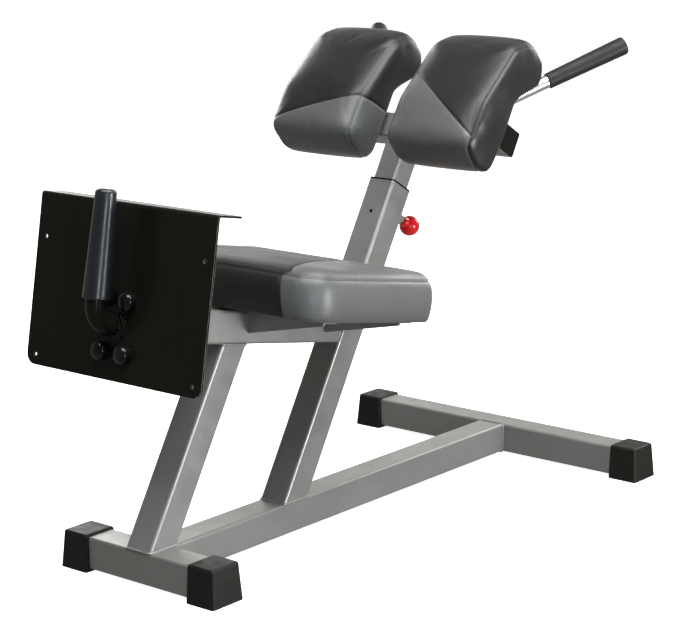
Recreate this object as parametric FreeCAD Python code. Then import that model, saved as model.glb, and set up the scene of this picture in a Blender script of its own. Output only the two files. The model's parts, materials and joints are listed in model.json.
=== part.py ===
import FreeCAD, Part
import math
import os

# Roman chair (back-extension bench): a welded square-tube frame with a foot plate, a knee cushion and a
# telescoping post that carries two hip pads and two handles.
# Millimetres. +X runs from the foot plate to the hip pads, +Y to the user's left, +Z up.
# The origin is on the floor, under the middle of the machine's own bounding box.

V = FreeCAD.Vector

# ---------------------------------------------------------------- driving dimensions
TUBE = 60.0                 # frame tube, outside
TUBE_WALL = 2.5
TUBE_CORNER = 5.0
SOLE = 5.0                  # rubber under the floor tubes
BEAM_TOP = SOLE + TUBE
BEAM_END = 1060.0           # where the base beam meets the rear cross-member
FRONT_HALF = 176.0          # half length of the front cross-member
REAR_HALF = 353.0           # half length of the rear cross-member

CAP_LENGTH = 60.0
CAP_END_WALL = 5.0
CAP_TOP_PROUD = 4.0
CAP_FLARE = 5.0
CAP_EDGE = 5.0

POST_ANGLE = 59.8           # front leg and post, from the floor
POST_X = 354.3              # front foot of the post on the beam
POST_LENGTH = 657.0
INNER = 50.0                # inner post and cross tube, outside
INNER_CORNER = 4.0
INNER_BOTTOM = 360.0        # along the post axis
CROSS_BOTTOM = 749.0        # underside of the cross tube, along the post axis
CROSS_HALF = 238.0
LIP = 3.5                   # lip of the post bushing
BUSH_LENGTH = 110.0
SLIDE_GAP = 0.3             # between the sliding tube and its bushing, each side

PIN_ALONG = 612.0           # pull-pin height along the post axis
HOLE_PITCH = 40.0
HOLES_ABOVE = 2
HOLES_BELOW = 4
PIN_TRAVEL = 12.0
JIG_HOLE_ALONG = 591.0
JIG_HOLE_DIAMETER = 8.0

RAIL_TILT = 10.0            # the rail drops towards the post
RAIL_ORIGIN = V(-37.0, 0.0, 473.0)
PLATE_THICK = 4.0
PLATE_HALF = 208.0
PLATE_BELOW = 93.0
PLATE_ABOVE = 210.0
PLATE_FOLD = 60.0
FOLD_RADIUS = 7.0
FLANGE_THICK = 8.0
BOLT_Y = 27.0
BOLT_Z = 45.0
PLATE_BOLT = 10.0

BAR_DIAMETER = 33.7
BAR_WALL = 2.6
BAR_OFFSET = 52.0
BAR_BEND = 38.0
SLEEVE_FROM = 46.0
SLEEVE_TO = 230.0
SLEEVE_WIDE = 47.0
SLEEVE_NARROW = 36.0

SEAT_FROM = 234.0           # in the rail's own frame
SEAT_TO = 590.0
SEAT_HALF = 232.0
SEAT_THICK = 88.0
SEAT_CORNER = 55.0          # vertical corners at the foot-plate end
SEAT_REAR_CORNER = 36.0     # vertical corners at the post end
BOARD_THICK = 15.0
BOARD_INSET = 14.0
BRACKET_THICK = 5.0
BRACKET_PLACES = (("front", 305.0), ("rear", 522.0))
BRACKET_REACH = 200.0
BRACKET_WIDTH = 36.0
BRACKET_DEEP = 45.0         # web height at the rail and at its outer end
BRACKET_SHALLOW = 9.0

PAD_INNER = 49.0            # |y| of each hip pad's inner and outer side
PAD_OUTER = 241.0
PAD_BOARD_THICK = 12.0
PAD_PLATE_THICK = 4.0
PAD_PLATE_FROM = 716.0
PAD_PLATE_TO = 832.0
PAD_PLATE_HALF = 60.0

BAR_END = V(1064.0, 306.0, 880.0)      # tip of the left handle
BAR_ROOT = V(783.0, 109.0, 739.0)      # where its axis meets the top of the cross tube
HANDLE_DIAMETER = 25.4
HANDLE_WALL = 2.0
GRIP_LENGTH = 173.0
GRIP_START_DIAMETER = 31.0
GRIP_END_DIAMETER = 36.0

SCREW = 8.0                 # bolts that hold boards to brackets
HOLE_CLEARANCE = 1.0        # how much wider a bolt hole is than its bolt
WASHER_CLEARANCE = 0.6

BIG = 3000.0                # side of the block that cuts away what lies past a plane
BLANK = 900.0               # length of a tube before its ends are mitred
OVERCUT = 1.0               # how far a cutting tool runs past the face it cuts
NEAR = 0.1                  # how close to a stated place an edge must be to be picked

# ---------------------------------------------------------------- smaller sizes
PIN_DIAMETER = 10.0
PIN_HOLE = 14.0
PIN_FIT = 0.05
PIN_NOSE_GAP = 0.5
STEM_DIAMETER = 8.0
HOUSING_DIAMETER = 26.0
HOUSING_LENGTH = 31.0
HOUSING_FLOOR = 4.0
CHAMBER = 17.0
COLLAR_THICK = 3.0
KNOB_CENTRE = -129.0
KNOB_DIAMETER = 40.0
KNOB_NECK_TIP = 17.0
KNOB_NECK_ROOT = 22.1
KNOB_NECK_LENGTH = 5.0
KNOB_NECK_SUNK = 4.0        # how deep the neck runs into the ball
PIN_CHAMFER = 1.5
PIN_STOP_GAP = 0.5
HOUSING_ROUND = 2.0
SPRING_WIRE = 1.3
SPRING_TURNS = 4
SPRING_GAP = 0.3

PLATE_CORNER = 20.0
FLAP_CORNER = 6.0
SPARE_HOLE = 7.0
SPARE_HOLE_Y = 187.0
SPARE_HOLE_UP = (-74.5, 132.0)
FLANGE_HALF = 40.0
FLANGE_UP = 62.0
WASHER_THICK = 2.0
WASHER_10 = 21.0
HEX_10 = 17.0
HEAD_10 = 6.4
NUT_10 = 8.0
BOLT_PAST_NUT = 3.0
WASHER_8 = 17.0
HEX_8 = 13.0
HEAD_8 = 5.3
COVER_DIAMETER = 32.0
COVER_SKIRT = 9.0
COVER_CROWN = 9.0
COVER_BORE = 22.0
COLLAR_DIAMETER = 50.0
COLLAR_LENGTH = 6.0
COLLAR_ROUND = 2.0
SLEEVE_CROWN = 8.0
SLEEVE_TIP_ROUND = 7.0
SLEEVE_FOOT_ROUND = 2.5

SEAT_EDGE = 26.0
SCREW_Y = 140.0
TEE_WALL = 1.5
TEE_LENGTH = 10.0
SCREW_SHORT = 1.0           # how far a board bolt stops short of its tee nut's end

GLIDE_FOOT = 8.0
GLIDE_PLUG = 25.0
PLUG_HEAD = 3.0
PLUG_SHANK = 16.0
PLUG_WALL = 3.0
PLUG_ROUND = 1.5
PAD_BOARD_FROM = 710.0
PAD_BOARD_TO = 834.0
PAD_BOLT_MARGIN = 13.0
PAD_BOLT_Y = 42.0
GRIP_CROWN = 6.0
GRIP_TIP_ROUND = 5.0
GRIP_MOUTH_ROUND = 1.5

# ---------------------------------------------------------------- local frames
POST_FRAME = FreeCAD.Placement(V(POST_X, 0, BEAM_TOP), FreeCAD.Rotation(V(0, 1, 0), -POST_ANGLE))
LEG_FRAME = FreeCAD.Placement(V(0, 0, BEAM_TOP), FreeCAD.Rotation(V(0, 1, 0), -POST_ANGLE))
RAIL_FRAME = FreeCAD.Placement(RAIL_ORIGIN, FreeCAD.Rotation(V(0, 1, 0), RAIL_TILT))
POST_MID = -TUBE / 2        # post axis, measured from its front face in the post frame

parts = {}


def placed(shape, frame):
    """A copy of the shape moved from a local frame into the machine's frame."""
    moved = shape.copy()
    moved.Placement = frame.multiply(moved.Placement)
    return moved


def box(low, high):
    """A box from its lowest to its highest corner."""
    size = V(*high) - V(*low)
    return Part.makeBox(size.x, size.y, size.z, V(*low))


def rod(diameter, start, end):
    """A round bar between two points."""
    start = V(*start)
    run = V(*end) - start
    return Part.makeCylinder(diameter / 2, run.Length, start, run)


def pipe(outer, inner, start, end):
    """A round tube or a washer between two points."""
    return rod(outer, start, end).cut(rod(inner, start, end))


def cone(start_diameter, end_diameter, start, end):
    """A tapered bar between two points."""
    start = V(*start)
    run = V(*end) - start
    return Part.makeCone(start_diameter / 2, end_diameter / 2, run.Length, start, run)


def hexagon(across_flats, start, end):
    """A hexagonal prism between two points."""
    start = V(*start)
    run = V(*end) - start
    radius = across_flats / math.sqrt(3)
    corners = [V(radius * math.cos(math.radians(60 * i)), radius * math.sin(math.radians(60 * i)), 0)
               for i in range(7)]
    prism = Part.Face(Part.makePolygon(corners)).extrude(V(0, 0, run.Length))
    prism.Placement = FreeCAD.Placement(start, FreeCAD.Rotation(V(0, 0, 1), run))
    return prism


def edges_along(shape, direction):
    """The straight edges that run parallel to a direction."""
    found = []
    for edge in shape.Edges:
        if isinstance(edge.Curve, Part.Line) and edge.Length > 0:
            run = (edge.Vertexes[-1].Point - edge.Vertexes[0].Point).normalize()
            if abs(abs(run * direction) - 1) < 1e-6:
                found.append(edge)
    return found


def rounded_box(low, high, radius, direction):
    """A box whose four edges along a direction are rounded."""
    block = box(low, high)
    return block.makeFillet(radius, edges_along(block, direction))


def edges_at(shape, axis, place):
    """The edges whose middle lies at one place along a main axis, such as "z"."""
    return [edge for edge in shape.Edges if abs(getattr(edge.CenterOfMass, axis) - place) < NEAR]


def square_tube(low, high, direction, wall=TUBE_WALL, corner=TUBE_CORNER):
    """A hollow square tube that runs along a direction and is open at both ends."""
    inset = V(wall, wall, wall) - V(abs(direction.x), abs(direction.y), abs(direction.z)) * wall
    inner_low = V(*low) + inset
    inner_high = V(*high) - inset
    outer = rounded_box(low, high, corner, direction)
    return outer.cut(rounded_box(tuple(inner_low), tuple(inner_high), corner - wall, direction))


def cut_beyond(shape, point, normal):
    """Remove what lies past a plane, on its normal's side."""
    slab = Part.makeBox(BIG, BIG, BIG, V(-BIG / 2, -BIG / 2, 0))
    slab.Placement = FreeCAD.Placement(point, FreeCAD.Rotation(V(0, 0, 1), normal))
    return shape.cut(slab)


def mirrored(shape):
    """The same shape on the other side of the machine's middle plane."""
    return shape.mirror(V(0, 0, 0), V(0, 1, 0))


def add(node, *solids):
    """Keep one node, made of one solid or of a group of separate ones."""
    parts[node] = solids[0] if len(solids) == 1 else Part.makeCompound(list(solids))


def post_point(along, off, y=0.0):
    """A point in the machine's frame from its place along the post and off the post's front face."""
    return POST_FRAME.multVec(V(along, y, off))


def rail_point(along, y, up):
    """A point in the machine's frame from its place along, across and above the rail's centreline."""
    return RAIL_FRAME.multVec(V(along, y, up))


POST_AXIS = POST_FRAME.Rotation.multVec(V(1, 0, 0))
POST_FRONT = POST_FRAME.Rotation.multVec(V(0, 0, 1))
RAIL_UP = RAIL_FRAME.Rotation.multVec(V(0, 0, 1))


# ---------------------------------------------------------------- floor frame
def floor_frame():
    """The base beam, its two cross-members and the four rubber caps."""
    half = TUBE / 2
    add("base_beam", square_tube((TUBE, -half, SOLE), (BEAM_END, half, BEAM_TOP), V(1, 0, 0)))
    for node, x, reach in (("front_crossmember", 0.0, FRONT_HALF), ("rear_crossmember", BEAM_END, REAR_HALF)):
        add(node, square_tube((x, -reach, SOLE), (x + TUBE, reach, BEAM_TOP), V(0, 1, 0)))
        place = node.split("_")[0]
        cap = foot_cap(x, reach)
        add("foot_cap_%s_left" % place, cap)
        add("foot_cap_%s_right" % place, mirrored(cap))


def foot_cap(x, reach):
    """A rubber cap that flares to the floor and slips over the end of a cross-member."""
    top = BEAM_TOP + CAP_TOP_PROUD
    end = reach + CAP_END_WALL
    outlines = []
    for z, flare in ((0.0, CAP_FLARE), (top, 0.0)):
        low_x = x - CAP_TOP_PROUD - flare
        high_x = x + TUBE + CAP_TOP_PROUD + flare
        low_y = end - CAP_LENGTH
        high_y = end + flare
        corners = [V(low_x, low_y, z), V(high_x, low_y, z), V(high_x, high_y, z), V(low_x, high_y, z)]
        outlines.append(Part.makePolygon(corners + [corners[0]]))
    block = Part.makeLoft(outlines, True, True)
    shown = [edge for edge in block.Edges if edge.BoundBox.ZMax > top / 2]
    block = block.makeFillet(CAP_EDGE, shown)
    socket = rounded_box((x, 0, SOLE), (x + TUBE, reach, BEAM_TOP), TUBE_CORNER, V(0, 1, 0))
    return block.cut(socket)


# ---------------------------------------------------------------- leg, rail and post
def leg_and_rail():
    """The leaning front leg and the seat rail, mitred to each other and to the post."""
    half = TUBE / 2
    leg = square_tube((-TUBE, -half, -TUBE), (BLANK, half, 0), V(1, 0, 0))
    leg = placed(leg, LEG_FRAME)
    leg = cut_beyond(leg, V(0, 0, BEAM_TOP), V(0, 0, -1))
    add("front_leg", cut_beyond(leg, rail_point(0, 0, -half), RAIL_UP))

    start = PLATE_THICK + FLANGE_THICK
    rail = square_tube((start, -half, -half), (BLANK, half, half), V(1, 0, 0))
    rail = placed(rail, RAIL_FRAME)
    add("seat_rail", cut_beyond(rail, post_point(0, 0), POST_FRONT * -1))


def post_tube():
    """The fixed outer post, with the jig hole in front and the pull-pin hole behind."""
    half = TUBE / 2
    tube = square_tube((-TUBE, -half, -TUBE), (POST_LENGTH, half, 0), V(1, 0, 0))
    tube = tube.cut(rod(PIN_HOLE, (PIN_ALONG, 0, -TUBE - OVERCUT), (PIN_ALONG, 0, POST_MID)))
    tube = tube.cut(rod(JIG_HOLE_DIAMETER, (JIG_HOLE_ALONG, 0, POST_MID), (JIG_HOLE_ALONG, 0, OVERCUT)))
    add("post_outer", cut_beyond(placed(tube, POST_FRAME), V(0, 0, BEAM_TOP), V(0, 0, -1)))


def post_bushing():
    """The plastic bushing in the mouth of the outer post."""
    half = TUBE / 2
    wall = TUBE_WALL
    bore = INNER / 2 + SLIDE_GAP
    low = POST_LENGTH - BUSH_LENGTH
    body = rounded_box((low, wall - half, wall - TUBE), (POST_LENGTH, half - wall, -wall),
                       TUBE_CORNER - wall, V(1, 0, 0))
    lip = rounded_box((POST_LENGTH, -half, -TUBE), (POST_LENGTH + LIP, half, 0), TUBE_CORNER, V(1, 0, 0))
    hole = rounded_box((low, -bore, POST_MID - bore), (POST_LENGTH + LIP, bore, POST_MID + bore),
                       INNER_CORNER, V(1, 0, 0))
    bushing = body.fuse(lip).cut(hole)
    bushing = bushing.cut(rod(PIN_HOLE, (PIN_ALONG, 0, -TUBE), (PIN_ALONG, 0, POST_MID)))
    add("post_bushing", placed(bushing, POST_FRAME))


# ---------------------------------------------------------------- foot plate and front bar
def foot_plate():
    """The folded foot plate, the rail's end flange and the bolts that join them."""
    sheet = box((0, -PLATE_HALF, -PLATE_BELOW), (PLATE_THICK, PLATE_HALF, PLATE_ABOVE))
    fold = box((0, -PLATE_HALF, PLATE_ABOVE - PLATE_THICK), (PLATE_FOLD, PLATE_HALF, PLATE_ABOVE))
    plate = sheet.fuse(fold).removeSplitter()
    across = V(0, 1, 0)
    ridge = V(0, 0, PLATE_ABOVE)
    outer = [e for e in edges_along(plate, across) if (e.CenterOfMass - ridge).Length < NEAR]
    plate = plate.makeFillet(FOLD_RADIUS, outer)
    crease = V(PLATE_THICK, 0, PLATE_ABOVE - PLATE_THICK)
    inner = [e for e in edges_along(plate, across) if (e.CenterOfMass - crease).Length < NEAR]
    plate = plate.makeFillet(FOLD_RADIUS - PLATE_THICK, inner)
    bottom = [e for e in edges_along(plate, V(1, 0, 0)) if e.CenterOfMass.z < 0]
    plate = plate.makeFillet(PLATE_CORNER, bottom)
    flap = [e for e in edges_along(plate, V(0, 0, 1)) if e.CenterOfMass.x > PLATE_FOLD / 2]
    plate = plate.makeFillet(FLAP_CORNER, flap)
    for y in (-SPARE_HOLE_Y, SPARE_HOLE_Y):
        for up in SPARE_HOLE_UP:
            plate = plate.cut(rod(SPARE_HOLE, (-OVERCUT, y, up), (PLATE_THICK + OVERCUT, y, up)))
    back = PLATE_THICK + FLANGE_THICK
    flange = rounded_box((PLATE_THICK, -FLANGE_HALF, -FLANGE_UP), (back, FLANGE_HALF, FLANGE_UP),
                         TUBE_CORNER, V(1, 0, 0))
    spots = [(y, up) for y in (-BOLT_Y, BOLT_Y) for up in (-BOLT_Z, BOLT_Z)]
    for y, up in spots:
        hole = rod(PLATE_BOLT + HOLE_CLEARANCE, (-OVERCUT, y, up), (back + OVERCUT, y, up))
        plate = plate.cut(hole)
        flange = flange.cut(hole)
    add("foot_plate", placed(plate, RAIL_FRAME))
    add("rail_flange", placed(flange, RAIL_FRAME))
    add("plate_bolts", *[placed(plate_bolt(y, up, back), RAIL_FRAME) for y, up in spots])
    add("plate_washers", *[placed(plate_washer(y, up), RAIL_FRAME) for y, up in spots])
    add("plate_nuts", *[placed(plate_nut(y, up, back), RAIL_FRAME) for y, up in spots])
    add("bolt_covers", *[placed(bolt_cover(y, up), RAIL_FRAME) for y, up in spots])


def plate_bolt(y, up, back):
    """A hex bolt whose head is in front of the plate."""
    head = hexagon(HEX_10, (-WASHER_THICK - HEAD_10, y, up), (-WASHER_THICK, y, up))
    shank = rod(PLATE_BOLT, (-WASHER_THICK, y, up), (back + NUT_10 + BOLT_PAST_NUT, y, up))
    return head.fuse(shank)


def plate_washer(y, up):
    """A plain washer under a bolt head."""
    return pipe(WASHER_10, PLATE_BOLT + HOLE_CLEARANCE, (-WASHER_THICK, y, up), (0, y, up))


def plate_nut(y, up, back):
    """A hex nut behind the flange, bored to the bolt it is threaded on."""
    nut = hexagon(HEX_10, (back, y, up), (back + NUT_10, y, up))
    return nut.cut(rod(PLATE_BOLT, (back - OVERCUT, y, up), (back + NUT_10 + OVERCUT, y, up)))


def bolt_cover(y, up):
    """A domed plastic cover that hides a bolt head."""
    skirt = rod(COVER_DIAMETER, (-COVER_SKIRT, y, up), (0, y, up))
    dome = Part.makeSphere(COVER_DIAMETER / 2, V(-COVER_SKIRT, y, up))
    dome = dome.common(box((-COVER_DIAMETER, y - COVER_DIAMETER, up - COVER_DIAMETER),
                           (-COVER_SKIRT, y + COVER_DIAMETER, up + COVER_DIAMETER)))
    squash = FreeCAD.Matrix()
    squash.scale(COVER_CROWN / (COVER_DIAMETER / 2), 1, 1)
    centred = dome.translated(V(COVER_SKIRT, 0, 0)).transformGeometry(squash)
    shell = skirt.fuse(centred.translated(V(-COVER_SKIRT, 0, 0)))
    return shell.cut(rod(COVER_BORE, (-COVER_SKIRT, y, up), (0, y, up)))


def front_bar():
    """The bent upright bar on the foot plate, its collar and its tapered rubber sleeve."""
    outer = bent_bar(BAR_DIAMETER)
    inner = bent_bar(BAR_DIAMETER - 2 * BAR_WALL)
    add("front_bar", placed(outer.cut(inner), RAIL_FRAME))
    collar = pipe(COLLAR_DIAMETER, BAR_DIAMETER, (-COLLAR_LENGTH, 0, 0), (0, 0, 0))
    rim = [e for e in edges_at(collar, "x", -COLLAR_LENGTH) if e.Length > math.pi * BAR_DIAMETER + NEAR]
    add("front_bar_collar", placed(collar.makeFillet(COLLAR_ROUND, rim), RAIL_FRAME))
    sleeve = cone(SLEEVE_WIDE, SLEEVE_NARROW, (-BAR_OFFSET, 0, SLEEVE_FROM), (-BAR_OFFSET, 0, SLEEVE_TO))
    sleeve = sleeve.makeFillet(SLEEVE_TIP_ROUND, edges_at(sleeve, "z", SLEEVE_TO))
    sleeve = sleeve.makeFillet(SLEEVE_FOOT_ROUND, edges_at(sleeve, "z", SLEEVE_FROM))
    bore = rod(BAR_DIAMETER, (-BAR_OFFSET, 0, SLEEVE_FROM), (-BAR_OFFSET, 0, SLEEVE_TO - SLEEVE_CROWN))
    add("front_bar_sleeve", placed(sleeve.cut(bore), RAIL_FRAME))


def bent_bar(diameter):
    """A round bar that leaves the plate, bends once and rises beside it."""
    stub = V(BAR_BEND - BAR_OFFSET, 0, 0)
    middle = stub + V(-BAR_BEND * math.sin(math.pi / 4), 0, BAR_BEND * (1 - math.cos(math.pi / 4)))
    riser = V(-BAR_OFFSET, 0, BAR_BEND)
    top = V(-BAR_OFFSET, 0, SLEEVE_TO - SLEEVE_CROWN)
    runs = [Part.LineSegment(V(0, 0, 0), stub).toShape(),
            Part.Arc(stub, middle, riser).toShape(),
            Part.LineSegment(riser, top).toShape()]
    section = Part.Wire([Part.makeCircle(diameter / 2, V(0, 0, 0), V(-1, 0, 0))])
    return Part.Wire(runs).makePipeShell([section], True, False)


# ---------------------------------------------------------------- seat
def seat():
    """The knee cushion on its board, held to the rail by four outrigger brackets."""
    base = TUBE / 2 + BRACKET_THICK
    cushion = seat_block(0.0, base, SEAT_THICK)
    cushion = cushion.makeFillet(SEAT_EDGE, edges_at(cushion, "z", base + SEAT_THICK))
    board = seat_block(BOARD_INSET, base, BOARD_THICK)
    cushion = cushion.cut(board)
    spots = [(screw_x(start), y) for _, start in BRACKET_PLACES for y in (-SCREW_Y, SCREW_Y)]
    for x, y in spots:
        board = board.cut(rod(SCREW + 2 * TEE_WALL, (x, y, base), (x, y, base + TEE_LENGTH)))
    add("seat_cushion", placed(cushion, RAIL_FRAME))
    add("seat_board", placed(board, RAIL_FRAME))
    for place, start in BRACKET_PLACES:
        bracket = seat_bracket(start)
        add("seat_bracket_%s_left" % place, placed(bracket, RAIL_FRAME))
        add("seat_bracket_%s_right" % place, placed(mirrored(bracket), RAIL_FRAME))
    under = TUBE / 2
    up = V(0, 0, 1)
    add("seat_bolts", *[placed(board_bolt((x, y, under), up, BRACKET_THICK), RAIL_FRAME) for x, y in spots])
    add("seat_washers", *[placed(board_washer((x, y, under), up), RAIL_FRAME) for x, y in spots])
    add("seat_tee_nuts", *[placed(tee_nut((x, y, base), up), RAIL_FRAME) for x, y in spots])


def seat_block(inset, base, thick):
    """A slab with the seat's outline, drawn in by an inset: round at the front corners, tighter behind."""
    low = (SEAT_FROM + inset, inset - SEAT_HALF, base)
    slab = box(low, (SEAT_TO - inset, SEAT_HALF - inset, base + thick))
    for x, radius in ((SEAT_FROM + inset, SEAT_CORNER), (SEAT_TO - inset, SEAT_REAR_CORNER)):
        corners = [e for e in edges_along(slab, V(0, 0, 1)) if abs(e.CenterOfMass.x - x) < NEAR]
        slab = slab.makeFillet(radius - inset, corners)
    return slab


def screw_x(start):
    """Where a bracket's screw sits along the rail: in the middle of the flange beside the web."""
    return start + (BRACKET_WIDTH + BRACKET_THICK) / 2


def seat_bracket(start):
    """A left outrigger on the side of the rail: a tapered web under a drilled flange."""
    half = TUBE / 2
    top = half + BRACKET_THICK
    outline = [V(start, half, top), V(start, half, top - BRACKET_DEEP),
               V(start, BRACKET_REACH, top - BRACKET_SHALLOW), V(start, BRACKET_REACH, top)]
    web = Part.Face(Part.makePolygon(outline + [outline[0]])).extrude(V(BRACKET_THICK, 0, 0))
    flange = box((start, half, half), (start + BRACKET_WIDTH, BRACKET_REACH, top))
    hole_x = screw_x(start)
    hole = rod(SCREW + HOLE_CLEARANCE, (hole_x, SCREW_Y, half - OVERCUT), (hole_x, SCREW_Y, top + OVERCUT))
    return web.fuse(flange).removeSplitter().cut(hole)


def board_bolt(point, direction, plate):
    """A hex bolt through a plate into a tee nut, its head on the near side of point."""
    point = V(*point)
    seat_face = point - direction * WASHER_THICK
    head = hexagon(HEX_8, tuple(seat_face - direction * HEAD_8), tuple(seat_face))
    tip = point + direction * (plate + TEE_LENGTH - SCREW_SHORT)
    return head.fuse(rod(SCREW, tuple(seat_face), tuple(tip)))


def board_washer(point, direction):
    """A plain washer under a board bolt."""
    point = V(*point)
    return pipe(WASHER_8, SCREW + WASHER_CLEARANCE, tuple(point - direction * WASHER_THICK), tuple(point))


def tee_nut(point, direction):
    """The threaded barrel in a board, bored to the bolt it is threaded on."""
    point = V(*point)
    return pipe(SCREW + 2 * TEE_WALL, SCREW, tuple(point), tuple(point + direction * TEE_LENGTH))


# ---------------------------------------------------------------- sliding upper part
def inner_post():
    """The sliding inner post with its row of adjustment holes, and the glide at its foot."""
    half = INNER / 2
    low = (INNER_BOTTOM, -half, POST_MID - half)
    tube = square_tube(low, (CROSS_BOTTOM, half, POST_MID + half), V(1, 0, 0), TUBE_WALL, INNER_CORNER)
    for step in range(-HOLES_BELOW, HOLES_ABOVE + 1):
        along = PIN_ALONG + step * HOLE_PITCH
        tube = tube.cut(rod(PIN_DIAMETER + HOLE_CLEARANCE, (along, 0, -TUBE), (along, 0, POST_MID)))
    add("inner_post", placed(tube, POST_FRAME))

    reach = TUBE / 2 - TUBE_WALL - SLIDE_GAP
    core = half - TUBE_WALL
    foot = rounded_box((INNER_BOTTOM - GLIDE_FOOT, -reach, POST_MID - reach),
                       (INNER_BOTTOM, reach, POST_MID + reach), TUBE_CORNER - TUBE_WALL, V(1, 0, 0))
    plug = rounded_box((INNER_BOTTOM, -core, POST_MID - core),
                       (INNER_BOTTOM + GLIDE_PLUG, core, POST_MID + core),
                       INNER_CORNER - TUBE_WALL, V(1, 0, 0))
    bore = core - PLUG_WALL
    hollow = box((INNER_BOTTOM - GLIDE_FOOT / 2, -bore, POST_MID - bore),
                 (INNER_BOTTOM + GLIDE_PLUG, bore, POST_MID + bore))
    add("inner_post_glide", placed(foot.fuse(plug).cut(hollow), POST_FRAME))


def cross_tube():
    """The square tube across the top of the inner post and its two end plugs."""
    half = INNER / 2
    low = (CROSS_BOTTOM, -CROSS_HALF, POST_MID - half)
    high = (CROSS_BOTTOM + INNER, CROSS_HALF, POST_MID + half)
    add("cross_tube", placed(square_tube(low, high, V(0, 1, 0), TUBE_WALL, INNER_CORNER), POST_FRAME))
    plug = cross_plug()
    add("cross_tube_plug_left", placed(plug, POST_FRAME))
    add("cross_tube_plug_right", placed(mirrored(plug), POST_FRAME))


def cross_plug():
    """A plastic end plug with a slightly domed head and a hollow shank."""
    half = INNER / 2
    core = half - TUBE_WALL
    middle = CROSS_BOTTOM + half
    end = CROSS_HALF + PLUG_HEAD
    head = rounded_box((CROSS_BOTTOM, CROSS_HALF, POST_MID - half),
                       (CROSS_BOTTOM + INNER, end, POST_MID + half), INNER_CORNER, V(0, 1, 0))
    head = head.makeFillet(PLUG_ROUND, edges_at(head, "y", end))
    shank = rounded_box((middle - core, CROSS_HALF - PLUG_SHANK, POST_MID - core),
                        (middle + core, CROSS_HALF, POST_MID + core), INNER_CORNER - TUBE_WALL, V(0, 1, 0))
    bore = core - PLUG_WALL
    hollow = box((middle - bore, CROSS_HALF - PLUG_SHANK, POST_MID - bore),
                 (middle + bore, CROSS_HALF, POST_MID + bore))
    return head.fuse(shank).cut(hollow)


def pad_profile():
    """The side outline of a hip pad as (along, off, rounding): bottom, crowned front, rolled top, rear."""
    bottom = [(696, 2, 5), (692, 32, 22), (712, 88, 26)]
    front = [(800, 86, 80), (930, 42, 40)]
    top = [(964, 2, 36), (955, -44, 26), (905, -62, 18)]
    rear = [(856, -14, 20), (838, -1, 10), (704, -1, 5)]
    return bottom + front + top + rear


def hip_pads():
    """Two split hip pads, each a cushion on a board, bolted to a plate on the cross tube."""
    profile = pad_profile()
    corners = [V(along, PAD_INNER, off) for along, off, _ in profile]
    face = Part.Face(Part.makePolygon(corners + [corners[0]]))
    cushion = face.extrude(V(0, PAD_OUTER - PAD_INNER, 0))
    for along, off, radius in profile:
        edge = [e for e in edges_at(cushion, "x", along) if abs(e.CenterOfMass.z - off) < NEAR]
        cushion = cushion.makeFillet(radius, edge)

    middle = (PAD_INNER + PAD_OUTER) / 2
    rear = PAD_PLATE_THICK + POST_MID + INNER / 2
    board = box((PAD_BOARD_FROM, PAD_INNER + BOARD_INSET, rear),
                (PAD_BOARD_TO, PAD_OUTER - BOARD_INSET, rear + PAD_BOARD_THICK))
    cushion = cushion.cut(board)
    plate = rounded_box((PAD_PLATE_FROM, middle - PAD_PLATE_HALF, rear - PAD_PLATE_THICK),
                        (PAD_PLATE_TO, middle + PAD_PLATE_HALF, rear), TUBE_CORNER, V(0, 0, 1))
    spots = [(along, y) for along in (PAD_PLATE_FROM + PAD_BOLT_MARGIN, PAD_PLATE_TO - PAD_BOLT_MARGIN)
             for y in (middle - PAD_BOLT_Y, middle + PAD_BOLT_Y)]
    for along, y in spots:
        board = board.cut(rod(SCREW + 2 * TEE_WALL, (along, y, rear), (along, y, rear + TEE_LENGTH)))
        plate = plate.cut(rod(SCREW + HOLE_CLEARANCE, (along, y, rear - 2 * PAD_PLATE_THICK),
                              (along, y, rear + OVERCUT)))
    for node, shape in (("pad_cushion", cushion), ("pad_board", board), ("pad_plate", plate)):
        add(node + "_left", placed(shape, POST_FRAME))
        add(node + "_right", placed(mirrored(shape), POST_FRAME))

    front = V(0, 0, 1)
    both = [(along, y * side) for side in (1, -1) for along, y in spots]
    back = rear - PAD_PLATE_THICK
    add("pad_bolts", *[placed(board_bolt((a, y, back), front, PAD_PLATE_THICK), POST_FRAME) for a, y in both])
    add("pad_washers", *[placed(board_washer((a, y, back), front), POST_FRAME) for a, y in both])
    add("pad_tee_nuts", *[placed(tee_nut((a, y, rear), front), POST_FRAME) for a, y in both])


def handles():
    """Two straight handles that spread from the cross tube, each with a rubber grip."""
    run = (BAR_END - BAR_ROOT).normalize()
    start = BAR_ROOT - run * INNER
    tube_end = BAR_END - run * GRIP_CROWN
    tube = pipe(HANDLE_DIAMETER, HANDLE_DIAMETER - 2 * HANDLE_WALL, tuple(start), tuple(tube_end))
    tube = cut_beyond(tube, post_point(CROSS_BOTTOM + INNER, 0), POST_AXIS * -1)
    grip_start = BAR_END - run * GRIP_LENGTH
    grip = cone(GRIP_START_DIAMETER, GRIP_END_DIAMETER, tuple(grip_start), tuple(BAR_END))
    tip = [e for e in grip.Edges if (e.CenterOfMass - BAR_END).Length < NEAR]
    grip = grip.makeFillet(GRIP_TIP_ROUND, tip)
    mouth = [e for e in grip.Edges if (e.CenterOfMass - grip_start).Length < NEAR]
    grip = grip.makeFillet(GRIP_MOUTH_ROUND, mouth)
    grip = grip.cut(rod(HANDLE_DIAMETER, tuple(grip_start), tuple(tube_end)))
    for node, shape in (("handle", tube), ("grip", grip)):
        add(node + "_left", shape)
        add(node + "_right", mirrored(shape))


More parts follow.
